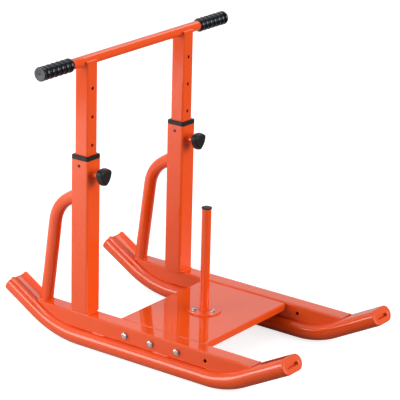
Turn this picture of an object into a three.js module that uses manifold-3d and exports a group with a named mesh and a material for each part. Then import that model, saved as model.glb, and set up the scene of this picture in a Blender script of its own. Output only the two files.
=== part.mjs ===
// Drag sled: two bent-up runners carry a welded frame with a weight platform, and a push handle
// that telescopes in two posts and is locked by a sprung pin in each post.
// Millimetres. +Z is up, the sled travels towards -Y, and -X is the sled's right-hand side.
// The origin is on the floor, under the middle of the sled's length and width.

import * as THREE from 'three';
import { mergeVertices, toCreasedNormals } from 'three/addons/utils/BufferGeometryUtils.js';
import Module from 'manifold-3d';

const wasm = await Module();
wasm.setup();

// Fits and cutting allowances
const seatGap = 0.3;
const slideGap = 0.4;
const cutOverrun = 2;
const fineChamfer = 1;

// Layout
const trackWidth = 454;
const postBehindFlat = 4;
const pegAheadOfPost = 264;

// Runners: flat-oval tube, bent up at both ends
const runnerWidth = 90;
const runnerHeight = 48;
const runnerWall = 2;
const runnerFlatLength = 456;
const frontBendRadius = 260;
const frontBendAngle = 27.7;
const frontTipLength = 158;
const rearBendRadius = 320;
const rearBendAngle = 30.5;
const rearTipLength = 111;

// Upper quarter of the pinched section, from the side to the top in equal turns, as shares of half
// the height: the side, a crease, a bead and the edge of the dished top wall; then its middle.
const pinchedShares = [1, 0.8, 0.88, 1.12, 1.26, 1.16, 0.88];
const pinchedMiddleShare = 0.78;
const pinchPower = 3;

// Runner end plugs
const plugRim = 7;
const plugEdge = 4.5;
const plugSpigot = 18;
const plugSlotWidth = 44;
const plugSlotHeight = 11;
const plugSlotDepth = 4.5;

// Posts: square tube
const postSize = 60;
const postWall = 2;
const postCorner = 6;
const postHeight = 461;

// Rails: square tube, coped to the runners
const railWidth = 50;
const railHeight = 50;
const railWall = 2;
const railCorner = 5;
const railEndLand = 3;
const towHoleBore = 11;
const towHoleAhead = 190;

// Post collars: plastic sleeves in the tops of the posts
const collarRim = 12;
const collarRimOverhang = 0;
const collarChamfer = 1.5;
const collarDepth = 30;
const collarStud = 9;
const collarStudDrop = 17.5;
const collarStudRecess = 0.7;

// Stems, their holes and their feet
const stemSize = 45;
const stemWall = 2;
const stemCorner = 5;
const holePitch = 83;
const holesAboveLock = 3;
const holesBelowLock = 1;
const holeBore = 10;
const topHoleBelowBar = 77.5;
const stemBelowLastHole = 37;
const footThickness = 5;
const footSpigot = 20;
const footEdge = 1.5;

// Handlebar and grips
const barDiameter = 30;
const barWall = 2;
const gripSpan = 842;
const gripLength = 130;
const gripDiameter = 41;
const gripGroove = 3.2;
const gripRibs = 6;
const gripEndWall = 5;
const gripEndHole = 5;
const gripEndDisc = 9;
const gripEndRound = 2;

// Braces
const braceDiameter = 38;
const braceWall = 2;
const braceFootBehindPost = 143;
const braceLean = 7.3;
const braceBendHeight = 249;
const braceBendRadius = 106;
const braceTopSlope = 33;

// Locks in the posts
const lockBelowPostTop = 41.6;
const bossDiameter = 24;
const bossLength = 23.7;
const barrelDiameter = 16;
const barrelBore = 11.4;
const barrelHead = 18;
const barrelHeadLength = 3;
const barrelEndWall = 5;
const pinDiameter = 8;
const pinTipLength = 8;
const pinGuideLength = 4;
const pinStemDiameter = 6;
const pinTravelIn = 7;
const pinInKnob = 8;
const springWire = 1;
const springTurns = 5;
const knobStandOff = 0.9;
const knobReach = 29.5;
const knobCornerShare = 0.95;
const knobSideSpread = 50;
const knobLength = 22;
const knobEdge = 3.5;
const knobFaceShare = 0.86;

// Platform
const plateLength = 300;
const plateThickness = 3;
const plateBelowRail = 2.5;
const plateBend = 5;
const endFlangeDepth = 20;
const sideFlangeDepth = 42;
const sideFlangeSetback = 14;

// Bolts through the rails and the platform's side flanges
const railBoltPitch = 92.5;
const railBoltCount = 3;
const railBolt = {
  shank: 10,
  tail: 3,
  across: 17,
  head: 6,
  crown: 1.6,
  washer: 20,
  washerThickness: 2,
  nut: 8,
};

// Plate peg, its flange and cap
const pegDiameter = 28;
const pegWall = 2.5;
const pegHeight = 309;
const flangeDiameter = 98;
const flangeThickness = 4;
const flangeEdge = 1.2;
const flangeBoltCircle = 64;
const flangeBoltCount = 3;
const flangeBolt = {
  shank: 8,
  tail: 3,
  across: 13,
  head: 5,
  crown: 1.3,
  washer: 16,
  washerThickness: 1.6,
  nut: 6.5,
};
const capDiameter = 31;
const capRim = 2.5;
const capDome = 1.8;
const capSpigot = 15;

// Facets
const runnerArcSteps = 6;
const runnerSideSteps = 4;
const cornerSteps = 3;
const roundSteps = 16;
const smallSteps = 12;
const knobSideSteps = 6;
const braceBendSteps = 7;
const springStepsPerTurn = 8;
const springWireSides = 4;
const creaseAngle = 35;

// Derived heights and lengthwise places
const rad = THREE.MathUtils.degToRad;
const halfTrack = trackWidth / 2;
const railBottom = runnerHeight + seatGap;
const railTop = railBottom + railHeight;
const postBottom = railTop + seatGap;
const postTop = postBottom + postHeight;
const lockHeight = postTop - lockBelowPostTop;
const barHeight = lockHeight + holesAboveLock * holePitch + topHoleBelowBar;
const stemBottom = lockHeight - holesBelowLock * holePitch - stemBelowLastHole;
const plateTop = railTop - plateBelowRail;
const frontRise = rad(frontBendAngle);
const rearRise = rad(rearBendAngle);

// How far a bent-up end reaches past the flat, measured at the rounded bottom edge of its plug.
function bendReach(radius, angle, tip) {
  const bottom = (radius + runnerHeight / 2) * Math.sin(angle);
  const end = (tip + seatGap + plugRim) * Math.cos(angle);
  const rounding = plugEdge * (1 - Math.SQRT1_2) * (Math.cos(angle) + Math.sin(angle));
  return bottom + end - rounding;
}

const frontReach = bendReach(frontBendRadius, frontRise, frontTipLength);
const rearReach = bendReach(rearBendRadius, rearRise, rearTipLength);
const flatRear = (runnerFlatLength + frontReach - rearReach) / 2;
const flatFront = flatRear - runnerFlatLength;
const postY = flatRear + postBehindFlat;
const pegY = postY - pegAheadOfPost;
const postOffset = (railWidth - postSize) / 2;
const postFront = postY - postSize / 2;
const postBack = postY + postSize / 2;

// Materials
const paint = { color: '#ee5a33', roughness: 0.3, metalness: 0 };
const plugPlastic = { color: '#ff6a35', roughness: 0.35, metalness: 0 };
const blackPlastic = { color: '#2b2b2d', roughness: 0.5, metalness: 0 };
const blackRubber = { color: '#242528', roughness: 0.75, metalness: 0 };
const zincSteel = { color: '#c9cac8', roughness: 0.28, metalness: 1 };

// Geometry helpers

const vec = (x, y, z) => new THREE.Vector3(x, y, z);
const axisX = vec(1, 0, 0);
const axisY = vec(0, 1, 0);
const axisZ = vec(0, 0, 1);

function indexed(points, faces) {
  const geometry = new THREE.BufferGeometry();
  geometry.setAttribute('position', new THREE.Float32BufferAttribute(points, 3));
  geometry.setIndex(faces);
  return geometry;
}

// Shared vertices, and no triangle that has lost its area at a pole.
function welded(geometry) {
  const bare = new THREE.BufferGeometry();
  bare.setAttribute('position', geometry.getAttribute('position'));
  bare.setIndex(geometry.index);
  const merged = mergeVertices(bare);
  const kept = [];
  const corners = merged.index.array;
  for (let i = 0; i < corners.length; i += 3) {
    const [a, b, c] = [corners[i], corners[i + 1], corners[i + 2]];
    if (a !== b && b !== c && c !== a) kept.push(a, b, c);
  }
  merged.setIndex(kept);
  return merged;
}

function toSolid(geometry) {
  const shape = welded(geometry);
  return new wasm.Manifold(new wasm.Mesh({
    numProp: 3,
    vertProperties: Float32Array.from(shape.getAttribute('position').array),
    triVerts: Uint32Array.from(shape.index.array),
  }));
}

function fromSolid(solid) {
  const mesh = solid.getMesh();
  return indexed(mesh.vertProperties, Array.from(mesh.triVerts));
}

function cut(body, ...tools) {
  return fromSolid(tools.reduce((solid, tool) => solid.subtract(toSolid(tool)), toSolid(body)));
}

function join(first, ...others) {
  return fromSolid(others.reduce((solid, other) => solid.add(toSolid(other)), toSolid(first)));
}

// Cross-sections are rings of [across, up] points, counter-clockwise.

function roundRing(radius, steps = roundSteps) {
  return Array.from({ length: steps }, (_, i) => {
    const turn = (2 * Math.PI * i) / steps;
    return [radius * Math.cos(turn), radius * Math.sin(turn)];
  });
}

function squareRing(width, depth, corner) {
  const ring = [];
  [[1, 1], [-1, 1], [-1, -1], [1, -1]].forEach(([a, b], quarter) => {
    for (let i = 0; i <= cornerSteps; i += 1) {
      const turn = (Math.PI / 2) * (quarter + i / cornerSteps);
      ring.push([
        a * (width / 2 - corner) + corner * Math.cos(turn),
        b * (depth / 2 - corner) + corner * Math.sin(turn),
      ]);
    }
  });
  return ring;
}

const placed = (ring, at, across, up) =>
  ring.map(([a, b]) => at.clone().addScaledVector(across, a).addScaledVector(up, b));

// A solid through matching rings, or a tube when inner rings are given.
function loft(outer, inner = null) {
  const count = outer[0].length;
  const points = [];
  const faces = [];
  const quad = (a, b, c, d) => faces.push(a, b, c, a, c, d);
  const addSkin = (rings, outwards) => {
    const first = points.length / 3;
    rings.flat().forEach((p) => points.push(p.x, p.y, p.z));
    for (let i = 0; i < rings.length - 1; i += 1) {
      for (let j = 0; j < count; j += 1) {
        const a = first + i * count + j;
        const b = first + i * count + ((j + 1) % count);
        if (outwards) quad(a, b, b + count, a + count);
        else quad(b, a, a + count, b + count);
      }
    }
    return first;
  };
  const lastRing = (outer.length - 1) * count;
  const outerFirst = addSkin(outer, true);
  if (inner) {
    const innerFirst = addSkin(inner, false);
    for (let j = 0; j < count; j += 1) {
      const k = (j + 1) % count;
      quad(outerFirst + k, outerFirst + j, innerFirst + j, innerFirst + k);
      const far = outerFirst + lastRing;
      const farInner = innerFirst + (inner.length - 1) * count;
      quad(far + j, far + k, farInner + k, farInner + j);
    }
    return indexed(points, faces);
  }
  [outer[0], outer[outer.length - 1]].forEach((ring, end) => {
    const middle = ring.reduce((sum, p) => sum.add(p), vec(0, 0, 0)).divideScalar(count);
    const hub = points.length / 3;
    points.push(middle.x, middle.y, middle.z);
    const base = end ? lastRing : 0;
    for (let j = 0; j < count; j += 1) {
      const k = (j + 1) % count;
      if (end) faces.push(hub, base + j, base + k);
      else faces.push(hub, base + k, base + j);
    }
  });
  return indexed(points, faces);
}

// A straight bar or tube. Levels are [distance along travel, outer ring, inner ring].
function straight(across, up, levels) {
  const travel = across.clone().cross(up);
  const at = (distance) => travel.clone().multiplyScalar(distance);
  const outer = levels.map(([distance, ring]) => placed(ring, at(distance), across, up));
  if (!levels[0][2]) return loft(outer);
  return loft(outer, levels.map(([distance, , ring]) => placed(ring, at(distance), across, up)));
}

// A turned piece about local +Y. The profile's [radius, height] points run round its section
// counter-clockwise, from the axis to the axis or back to its first point.
function turned(profile, steps = roundSteps) {
  const points = profile.map(([radius, height]) => new THREE.Vector2(radius, height));
  return welded(new THREE.LatheGeometry(points, steps));
}

// A full-depth cylinder along a world axis, to cut a hole with.
function drill(diameter, length, at, axis, steps = smallSteps) {
  const tool = new THREE.CylinderGeometry(diameter / 2, diameter / 2, length, steps);
  if (axis === axisX) tool.rotateZ(Math.PI / 2);
  if (axis === axisZ) tool.rotateX(Math.PI / 2);
  return tool.translate(at.x, at.y, at.z);
}

function block(low, high) {
  const size = high.clone().sub(low);
  const middle = high.clone().add(low).multiplyScalar(1 / 2);
  return new THREE.BoxGeometry(size.x, size.y, size.z).translate(middle.x, middle.y, middle.z);
}

function node(name, geometry, look, parent) {
  const shape = toCreasedNormals(welded(geometry), rad(creaseAngle));
  const mesh = new THREE.Mesh(shape, new THREE.MeshStandardMaterial(look));
  mesh.name = name;
  parent.add(mesh);
  return mesh;
}

function groupAt(parent, x, y, z) {
  const group = new THREE.Group();
  group.position.set(x, y, z);
  parent.add(group);
  return group;
}

// Runner section: a flat oval. At the rear end the pinch runs from 0 to 1: the top wall dishes
// between two beads and a crease runs along each side. A drop lowers the bottom.
function ovalRing(inset, pinch, drop = 0) {
  const half = runnerHeight / 2;
  const flat = (runnerWidth - runnerHeight) / 2;
  const reach = (share) => half * (1 - pinch * (1 - share)) - inset;
  const side = [];
  for (let i = -runnerSideSteps; i < 0; i += 1) {
    const turn = (Math.PI / 2) * (i / runnerSideSteps);
    side.push([flat + reach(1) * Math.cos(turn), reach(1) * Math.sin(turn) - drop]);
  }
  pinchedShares.forEach((share, i) => {
    const turn = (Math.PI / 2) * (i / (pinchedShares.length - 1));
    side.push([flat + reach(share) * Math.cos(turn), reach(share) * Math.sin(turn)]);
  });
  const edge = pinchedShares[pinchedShares.length - 1];
  const top = [[flat / 2, (edge + pinchedMiddleShare) / 2], [0, pinchedMiddleShare]];
  const dish = top.map(([across, share]) => [across, reach(share)]);
  const mirror = (points) => points.map(([a, b]) => [-a, b]).reverse();
  return [...side, ...dish, ...mirror(dish.slice(0, 1)), ...mirror(side)];
}

// The runner's line from rear to front as stations: a place, its slope and its pinch.
function runnerStations() {
  const stations = [];
  const axisHeight = runnerHeight / 2;
  const bend = (radius, angle, share) => {
    const turn = angle * share;
    return { run: radius * Math.sin(turn), rise: radius * (1 - Math.cos(turn)), turn };
  };
  const add = (y, z, slope, pinch) => stations.push({ y, z, slope, pinch });
  const rearEnd = bend(rearBendRadius, rearRise, 1);
  add(
    flatRear + rearEnd.run + rearTipLength * Math.cos(rearRise),
    axisHeight + rearEnd.rise + rearTipLength * Math.sin(rearRise),
    -rearRise,
    1,
  );
  for (let i = runnerArcSteps; i >= 0; i -= 1) {
    const share = i / runnerArcSteps;
    const { run, rise, turn } = bend(rearBendRadius, rearRise, share);
    add(flatRear + run, axisHeight + rise, -turn, share ** pinchPower);
  }
  for (let i = 0; i <= runnerArcSteps; i += 1) {
    const share = i / runnerArcSteps;
    const { run, rise, turn } = bend(frontBendRadius, frontRise, share);
    add(flatFront - run, axisHeight + rise, turn, 0);
  }
  const frontEnd = bend(frontBendRadius, frontRise, 1);
  add(
    flatFront - frontEnd.run - frontTipLength * Math.cos(frontRise),
    axisHeight + frontEnd.rise + frontTipLength * Math.sin(frontRise),
    frontRise,
    0,
  );
  return stations;
}

function runnerRings(stations, inset, drop = 0) {
  return stations.map(({ y, z, slope, pinch }) =>
    placed(ovalRing(inset, pinch, drop), vec(0, y, z), axisX, vec(0, Math.sin(slope), Math.cos(slope))));
}

function runnerTube() {
  const stations = runnerStations();
  return loft(runnerRings(stations, 0), runnerRings(stations, runnerWall));
}

// What the rail and the brace are cut back by: the runner with a gap all round, and all below it.
function runnerBlank() {
  return loft(runnerRings(runnerStations(), -seatGap, railHeight));
}

// A plug lies along local -Y: the rim outside the tube's end, the spigot inside it.
function runnerPlug(pinch) {
  const rim = plugRim + seatGap;
  const body = straight(axisX, axisZ, [
    [-plugSpigot, ovalRing(runnerWall + 2 * seatGap, pinch)],
    [seatGap, ovalRing(runnerWall + seatGap, pinch)],
    [seatGap, ovalRing(0, pinch)],
    [rim - plugEdge, ovalRing(0, pinch)],
    [rim - plugEdge * (1 - Math.SQRT1_2), ovalRing(plugEdge * (1 - Math.SQRT1_2), pinch)],
    [rim, ovalRing(plugEdge, pinch)],
  ]);
  const slotEnds = (plugSlotWidth - plugSlotHeight) / 2;
  const slot = new THREE.Shape();
  slot.absarc(slotEnds, 0, plugSlotHeight / 2, -Math.PI / 2, Math.PI / 2);
  slot.absarc(-slotEnds, 0, plugSlotHeight / 2, Math.PI / 2, (3 * Math.PI) / 2);
  const tool = new THREE.ExtrudeGeometry(slot, {
    depth: plugSlotDepth + cutOverrun,
    bevelEnabled: false,
    curveSegments: cornerSteps + 1,
  });
  tool.rotateX(Math.PI / 2).translate(0, plugSlotDepth - rim, -plugSlotHeight / 6);
  return cut(body, tool);
}

// How far from the flat the runner's top has climbed by the given height.
function climb(radius, angle, height) {
  const topRadius = radius - runnerHeight / 2;
  const bendHeight = topRadius * (1 - Math.cos(angle));
  if (height <= bendHeight) return topRadius * Math.sin(Math.acos(1 - height / topRadius));
  return topRadius * Math.sin(angle) + (height - bendHeight) / Math.tan(angle);
}

const railFront = flatFront - climb(frontBendRadius, frontRise, railHeight - railEndLand);
const railRear = flatRear + climb(rearBendRadius, rearRise, railHeight - railEndLand);
const railMiddle = (railBottom + railTop) / 2;
const railBolts = Array.from({ length: railBoltCount }, (_, i) =>
  pegY + railBoltPitch * ((railBoltCount - 1) / 2 - i));
const towHoleY = pegY - towHoleAhead;

// Square rail along the runner, coped to the runner's top and drilled across.
function railTube() {
  const outer = squareRing(railWidth, railHeight, railCorner);
  const inner = squareRing(railWidth - 2 * railWall, railHeight - 2 * railWall, railCorner - railWall);
  const tube = straight(axisX, axisZ, [[-railRear, outer, inner], [-railFront, outer, inner]]);
  tube.translate(0, 0, railMiddle);
  const across = railWidth + 2 * cutOverrun;
  const bore = railBolt.shank + 2 * seatGap;
  const holes = railBolts.map((y) => drill(bore, across, vec(0, y, railMiddle), axisX));
  const towHole = drill(towHoleBore, across, vec(0, towHoleY, railMiddle), axisX);
  return cut(tube, runnerBlank(), ...holes, towHole);
}

const studHeight = postTop - collarStudDrop;

function postTube() {
  const outer = squareRing(postSize, postSize, postCorner);
  const inner = squareRing(postSize - 2 * postWall, postSize - 2 * postWall, postCorner - postWall);
  const tube = straight(axisX, axisY, [[postBottom, outer, inner], [postTop, outer, inner]]);
  const across = postSize + 2 * cutOverrun;
  const studHoles = drill(collarStud + 2 * seatGap, across, vec(0, 0, studHeight), axisX);
  const barrelHole = drill(
    barrelDiameter + 2 * seatGap,
    postSize / 2 + cutOverrun,
    vec(0, -(postSize / 2 + cutOverrun) / 2, lockHeight),
    axisY,
    roundSteps,
  );
  return cut(tube, studHoles, barrelHole);
}

// A sleeve in the post's mouth, with a rim on top and a stud in each side hole.
function postCollar() {
  const rimSize = postSize + 2 * collarRimOverhang;
  const sleeveSize = postSize - 2 * (postWall + seatGap);
  const bore = squareRing(stemSize + 2 * slideGap, stemSize + 2 * slideGap, stemCorner);
  const ring = (size, corner) => squareRing(size, size, corner);
  const rimBottom = postTop + seatGap;
  const rimTop = rimBottom + collarRim;
  const body = straight(axisX, axisY, [
    [postTop - collarDepth, ring(sleeveSize, postCorner - postWall), bore],
    [rimBottom, ring(sleeveSize, postCorner - postWall), bore],
    [rimBottom, ring(rimSize, postCorner), bore],
    [rimTop - collarChamfer, ring(rimSize, postCorner), bore],
    [rimTop, ring(rimSize - 2 * collarChamfer, postCorner), bore],
  ]);
  const studReach = postSize / 2 - collarStudRecess;
  const studRoot = (stemSize + sleeveSize) / 4 + slideGap / 2;
  const studs = [1, -1].map((side) =>
    drill(collarStud, studReach - studRoot, vec((side * (studReach + studRoot)) / 2, 0, studHeight), axisX));
  return join(body, ...studs);
}

// Bent round tube from the rail's rear end up to the back of the post, coped at both ends. The
// post and the brace stand nearer to the middle of the sled than the rail does.
function braceTube(sign) {
  const lean = rad(braceLean);
  const slope = rad(braceTopSlope);
  const bendTurn = Math.PI / 2 - slope - lean;
  const footY = postY + braceFootBehindPost;
  const stations = [];
  const below = braceDiameter;
  stations.push([footY + below * Math.tan(lean), railTop - below, lean]);
  const bendY = footY - braceBendHeight * Math.tan(lean);
  const bendZ = railTop + braceBendHeight;
  const centreY = bendY - braceBendRadius * Math.cos(lean);
  const centreZ = bendZ - braceBendRadius * Math.sin(lean);
  for (let i = 0; i <= braceBendSteps; i += 1) {
    const turn = lean + (bendTurn * i) / braceBendSteps;
    stations.push([
      centreY + braceBendRadius * Math.cos(turn),
      centreZ + braceBendRadius * Math.sin(turn),
      turn,
    ]);
  }
  const [lastY, lastZ] = stations[stations.length - 1];
  const run = lastY - postY;
  stations.push([postY, lastZ + run * Math.tan(slope), lean + bendTurn]);
  const rings = (radius) => stations.map(([y, z, turn]) =>
    placed(roundRing(radius), vec(0, y, z), axisX, vec(0, Math.cos(turn), Math.sin(turn))));
  const tube = loft(rings(braceDiameter / 2), rings(braceDiameter / 2 - braceWall));
  const reach = postSize / 2 + seatGap;
  const postBlank = block(
    vec(-reach, postY - reach - braceDiameter, 0),
    vec(reach, postBack + seatGap, postTop),
  );
  const railBlank = block(vec(-reach, postY, 0), vec(reach, railRear + braceDiameter, railTop + seatGap));
  const runner = runnerBlank().translate(-sign * postOffset, 0, 0);
  return cut(tube, postBlank, railBlank, runner);
}

// Lock pieces lie on the pin's axis. Their local +Y points out of the post, and 0 is the post's face.
const stemFace = (postSize - stemSize) / 2;
const pinTip = -(stemFace - slideGap);
const barrelInner = seatGap - stemFace;
const bossEnd = seatGap + bossLength;
const barrelOuter = bossEnd + seatGap + barrelHeadLength;
const springRoom = barrelOuter - barrelEndWall - seatGap;
const pinGuideEnd = pinTip + pinTipLength + pinGuideLength;
const knobBack = bossEnd + knobStandOff;
const knobPocket = barrelOuter + seatGap - (knobBack - pinTravelIn);
const pinStemEnd = knobBack + knobPocket + pinInKnob;

function lockBoss() {
  const [wall, bore] = [bossDiameter / 2, barrelDiameter / 2 + seatGap];
  return turned([
    [bore, seatGap], [wall, seatGap], [wall, bossEnd - fineChamfer],
    [wall - fineChamfer, bossEnd], [bore, bossEnd], [bore, seatGap],
  ]);
}

function lockBarrel() {
  const [outer, bore] = [barrelDiameter / 2, barrelBore / 2];
  const head = barrelHead / 2;
  const eye = pinStemDiameter / 2 + seatGap;
  const headStart = barrelOuter - barrelHeadLength;
  return turned([
    [bore, barrelInner], [outer, barrelInner], [outer, headStart], [head, headStart],
    [head, barrelOuter], [eye, barrelOuter], [eye, barrelOuter - barrelEndWall],
    [bore, barrelOuter - barrelEndWall], [bore, barrelInner],
  ]);
}

function lockPin() {
  const pin = pinDiameter / 2;
  const guide = barrelBore / 2 - seatGap;
  const stem = pinStemDiameter / 2;
  const guideStart = pinTip + pinTipLength;
  return turned([
    [0, pinTip], [pin - fineChamfer, pinTip], [pin, pinTip + fineChamfer], [pin, guideStart],
    [guide, guideStart], [guide, pinGuideEnd], [stem, pinGuideEnd],
    [stem, pinStemEnd], [0, pinStemEnd],
  ]);
}

function lockSpring() {
  const first = pinGuideEnd + seatGap + springWire / 2;
  const last = springRoom - springWire / 2;
  const radius = barrelBore / 2 - seatGap - springWire / 2;
  const steps = springTurns * springStepsPerTurn;
  const rings = Array.from({ length: steps + 1 }, (_, i) => {
    const turn = (2 * Math.PI * i) / springStepsPerTurn;
    const outwards = vec(Math.cos(turn), 0, Math.sin(turn));
    const along = first + ((last - first) * i) / steps;
    const at = outwards.clone().multiplyScalar(radius).addScaledVector(axisY, along);
    return placed(roundRing(springWire / 2, springWireSides), at, outwards, axisY);
  });
  return loft(rings);
}

// Three blunt corners, with a bulging side between each two that is an arc about the third.
function knobOutline() {
  const ring = [];
  for (let corner = 0; corner < 3; corner += 1) {
    const cornerTurn = (2 * Math.PI * corner) / 3;
    ring.push([cornerTurn, knobCornerShare]);
    for (let i = 0; i < knobSideSteps; i += 1) {
      const lean = rad(knobSideSpread) * ((2 * i) / (knobSideSteps - 1) - 1);
      const share = Math.sqrt(3 - Math.sin(lean) ** 2) - Math.cos(lean);
      ring.push([cornerTurn + Math.PI / 3 + lean, share]);
    }
  }
  return ring.map(([turn, share]) => [
    knobReach * share * Math.cos(turn),
    knobReach * share * Math.sin(turn),
  ]);
}

// Three-cornered knob, smaller towards its face. Its back is hollow, to close over the boss when
// the pin springs in.
function lockKnob() {
  const corners = knobOutline();
  const scaled = (share) => corners.map(([a, b]) => [a * share, b * share]);
  const edgeShare = 1 - knobEdge / knobReach;
  const front = knobBack + knobLength;
  const levels = [
    [knobBack, scaled(edgeShare)],
    [knobBack + knobEdge, scaled(1)],
    [front - knobEdge, scaled(knobFaceShare)],
    [front, scaled(knobFaceShare * edgeShare)],
  ];
  const body = straight(axisZ, axisX, levels);
  const hole = (diameter, from, to) =>
    drill(diameter, to - from, vec(0, (from + to) / 2, 0), axisY, roundSteps);
  const pocket = hole(bossDiameter + 3 * slideGap, knobBack - cutOverrun, knobBack + knobPocket);
  const seat = hole(pinStemDiameter + 2 * seatGap, knobBack, pinStemEnd + seatGap);
  return cut(body, pocket, seat);
}

// Handle pieces

function stemTube() {
  const outer = squareRing(stemSize, stemSize, stemCorner);
  const inner = squareRing(stemSize - 2 * stemWall, stemSize - 2 * stemWall, stemCorner - stemWall);
  const tube = straight(axisX, axisY, [[stemBottom, outer, inner], [barHeight, outer, inner]]);
  const across = stemSize + 2 * cutOverrun;
  const saddle = drill(barDiameter + 2 * seatGap, across, vec(0, 0, barHeight), axisX, roundSteps);
  const holes = [];
  for (let i = -holesBelowLock; i <= holesAboveLock; i += 1) {
    const at = vec(0, -stemSize / 2, lockHeight + i * holePitch);
    holes.push(drill(holeBore, 2 * (stemWall + cutOverrun), at, axisY));
  }
  return cut(tube, saddle, ...holes);
}

// Plastic foot in the stem's lower end, which slides in the post.
function stemFoot() {
  const inside = stemSize - 2 * (stemWall + seatGap);
  const guide = postSize - 2 * (postWall + slideGap);
  const top = stemBottom - seatGap;
  const ring = (size, corner) => squareRing(size, size, corner);
  const guideCorner = postCorner - postWall;
  return straight(axisX, axisY, [
    [top - footThickness, ring(guide - 2 * footEdge, guideCorner)],
    [top - footThickness + footEdge, ring(guide, guideCorner)],
    [top, ring(guide, guideCorner)],
    [top, ring(inside, stemCorner - stemWall)],
    [top + footSpigot, ring(inside - footEdge, stemCorner - stemWall)],
  ]);
}

function handlebarTube() {
  const half = gripSpan / 2 - gripEndWall - seatGap;
  const outer = roundRing(barDiameter / 2);
  const inner = roundRing(barDiameter / 2 - barWall);
  return straight(axisY, axisZ, [[-half, outer, inner], [half, outer, inner]]);
}

// Ribbed grip along local +Y: 0 is its inner end, and the outer end is closed but for a small hole.
function ribbedGrip() {
  const rib = gripDiameter / 2;
  const groove = rib - gripGroove;
  const bore = barDiameter / 2 + seatGap;
  const pitch = (gripLength - gripEndDisc) / gripRibs;
  const profile = [[bore, 0]];
  for (let i = 0; i < gripRibs; i += 1) {
    const start = i * pitch;
    profile.push(
      [i ? groove : rib - gripEndRound, start],
      [rib, start + pitch / 6],
      [rib, start + pitch / 2],
      [groove, start + (pitch * 2) / 3],
    );
  }
  profile.push(
    [rib, gripLength - gripEndDisc],
    [rib, gripLength - gripEndRound],
    [rib - gripEndRound, gripLength],
    [gripEndHole / 2, gripLength],
    [gripEndHole / 2, gripLength - gripEndWall],
    [bore, gripLength - gripEndWall],
    [bore, 0],
  );
  return turned(profile, roundSteps);
}

// A steel plate folded down on all four sides. The corners are notched where the folds meet.
function platformPan() {
  const width = trackWidth - railWidth - 2 * seatGap;
  const fold = (span, depth) => {
    const [half, bend, wall] = [span / 2, plateBend, plateThickness];
    const inside = bend - wall;
    const shape = new THREE.Shape();
    shape.moveTo(half, -depth);
    shape.lineTo(half, -bend);
    shape.absarc(half - bend, -bend, bend, 0, Math.PI / 2);
    shape.lineTo(bend - half, 0);
    shape.absarc(bend - half, -bend, bend, Math.PI / 2, Math.PI);
    shape.lineTo(-half, -depth);
    shape.lineTo(wall - half, -depth);
    shape.lineTo(wall - half, -bend);
    shape.absarc(bend - half, -bend, inside, Math.PI, Math.PI / 2, true);
    shape.lineTo(half - bend, -wall);
    shape.absarc(half - bend, -bend, inside, Math.PI / 2, 0, true);
    shape.lineTo(half - wall, -depth);
    return shape;
  };
  const folded = (span, depth, length) => new THREE.ExtrudeGeometry(fold(span, depth), {
    depth: length,
    bevelEnabled: false,
    curveSegments: cornerSteps + 1,
  }).translate(0, 0, -length / 2);
  const sides = folded(width, endFlangeDepth, plateLength - 2 * plateBend).rotateX(Math.PI / 2);
  const ends = folded(plateLength, endFlangeDepth, width - 2 * plateBend)
    .rotateX(Math.PI / 2).rotateZ(Math.PI / 2);
  const tabs = folded(width, sideFlangeDepth, plateLength - 2 * (plateBend + sideFlangeSetback))
    .rotateX(Math.PI / 2);
  const pan = join(sides, ends, tabs).translate(0, pegY, plateTop);
  const railBores = railBolts.map((y) =>
    drill(railBolt.shank + 2 * seatGap, trackWidth, vec(0, y, railMiddle), axisX));
  const flangeBores = flangeBoltPlaces().map(([x, y]) =>
    drill(flangeBolt.shank + 2 * seatGap, 2 * (plateThickness + cutOverrun), vec(x, y, plateTop), axisZ));
  return cut(pan, ...railBores, ...flangeBores);
}

// The first bolt stands straight ahead of the peg, the others evenly round it.
function flangeBoltPlaces() {
  return Array.from({ length: flangeBoltCount }, (_, i) => {
    const turn = (2 * Math.PI * i) / flangeBoltCount - Math.PI / 2;
    return [(flangeBoltCircle / 2) * Math.cos(turn), pegY + (flangeBoltCircle / 2) * Math.sin(turn)];
  });
}

// Bolts lie along local +Y: the washer's underside is at 0, the head above it, the shank below.
function hexBolt(size, grip) {
  const { shank, tail, across, head, crown, washer, washerThickness, nut } = size;
  const corner = across / Math.sqrt(3);
  const reach = grip + nut + seatGap + tail;
  const top = washerThickness + head;
  const shaft = turned([
    [0, -reach], [shank / 2 - fineChamfer, -reach], [shank / 2, fineChamfer - reach], [shank / 2, 0],
    [washer / 2, 0], [washer / 2, washerThickness], [0, washerThickness],
  ], smallSteps);
  const hex = turned([[0, 0], [corner, 0], [corner, top - crown], [corner - 2 * crown, top], [0, top]], 6);
  return join(shaft, hex);
}

// The nut's washer face is at 0 and the nut hangs below it.
function hexNut(size) {
  const corner = size.across / Math.sqrt(3);
  const body = turned([[0, -size.nut], [corner, -size.nut], [corner, 0], [0, 0]], 6);
  const bore = drill(size.shank + 2 * seatGap, size.nut + 2 * cutOverrun, vec(0, -size.nut / 2, 0), axisY);
  return cut(body, bore);
}

// Peg pieces, about the peg's own axis

const flangeBottom = plateTop + seatGap;
const flangeTop = flangeBottom + flangeThickness;
const pegBottom = flangeTop + seatGap;
const pegTop = pegBottom + pegHeight;

function pegFlange() {
  const radius = flangeDiameter / 2;
  const disc = turned([
    [0, flangeBottom], [radius, flangeBottom], [radius, flangeTop - flangeEdge],
    [radius - flangeEdge, flangeTop], [0, flangeTop],
  ], roundSteps + smallSteps).rotateX(Math.PI / 2);
  const bore = flangeBolt.shank + 2 * seatGap;
  const bores = flangeBoltPlaces().map(([x, y]) =>
    drill(bore, 2 * (flangeThickness + cutOverrun), vec(x, y - pegY, flangeTop), axisZ));
  return cut(disc, ...bores);
}

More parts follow.
